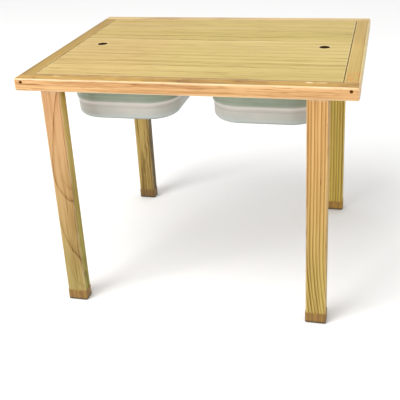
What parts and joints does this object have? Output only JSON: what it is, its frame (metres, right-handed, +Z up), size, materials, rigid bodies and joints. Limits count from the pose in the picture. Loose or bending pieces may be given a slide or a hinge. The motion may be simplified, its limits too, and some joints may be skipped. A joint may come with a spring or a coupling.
{
  "type": "sand and water table",
  "caption": "Low timber play table with a lift-off lid over hanging plastic tubs for sand and water, on rectangular legs with brown foot caps.",
  "frame": {"origin": "on the floor, under the middle of the table", "axes": "+X along the table's length, +Y from the front rail to the back rail, +Z up"},
  "size_m": [0.75, 0.6, 0.57],
  "materials": {
    "frame_pine": "clear satin lacquer on pine",
    "side_rail_pine": "clear satin lacquer on pine",
    "leg_pine": "clear satin lacquer on pine",
    "lid_pine": "clear satin lacquer on a glued pine panel",
    "deck_ply": "sealed birch plywood",
    "rest_pine": "sealed pine strip",
    "tub_plastic": "frosted translucent polypropylene",
    "foot_rubber": "brown translucent rubber",
    "screw_steel": "bronzed steel",
    "dowel_wood": "plain beech",
    "insert_brass": "plain brass",
    "bolt_steel": "zinc plated"
  },
  "bodies": {
    "root": {"front_rail": "frame_pine", "back_rail": "frame_pine", "left_rail": "side_rail_pine", "right_rail": "side_rail_pine", "deck_panel": "deck_ply", "lid_rest_front": "rest_pine", "lid_rest_back": "rest_pine", "lid_rest_left": "rest_pine", "lid_rest_right": "rest_pine", "lid_rest_middle": "rest_pine", "leg_front_left": "leg_pine", "leg_front_right": "leg_pine", "leg_back_left": "leg_pine", "leg_back_right": "leg_pine", "foot_cap_front_left": "foot_rubber", "foot_cap_front_right": "foot_rubber", "foot_cap_back_left": "foot_rubber", "foot_cap_back_right": "foot_rubber", "corner_screws": "screw_steel", "corner_dowels": "dowel_wood", "leg_inserts": "insert_brass", "leg_bolts": "bolt_steel"},
    "lid": {"lid_panel": "lid_pine"},
    "tub_left": {"tub_left": "tub_plastic"},
    "tub_right": {"tub_right": "tub_plastic"}
  },
  "joints": [
    {"name": "lid_lift", "type": "slide", "parent": "root", "child": "lid", "axis": [0, 0, 1], "range_m": [0, 0.4]},
    {"name": "tub_left_lift", "type": "slide", "parent": "root", "child": "tub_left", "axis": [0, 0, 1], "range_m": [0, 0.2]},
    {"name": "tub_right_lift", "type": "slide", "parent": "root", "child": "tub_right", "axis": [0, 0, 1], "range_m": [0, 0.2]}
  ],
  "couplings": [
    {"joint": "tub_left_lift", "follows": "lid_lift", "ratio": 0.5},
    {"joint": "tub_right_lift", "follows": "lid_lift", "ratio": 0.5}
  ]
}
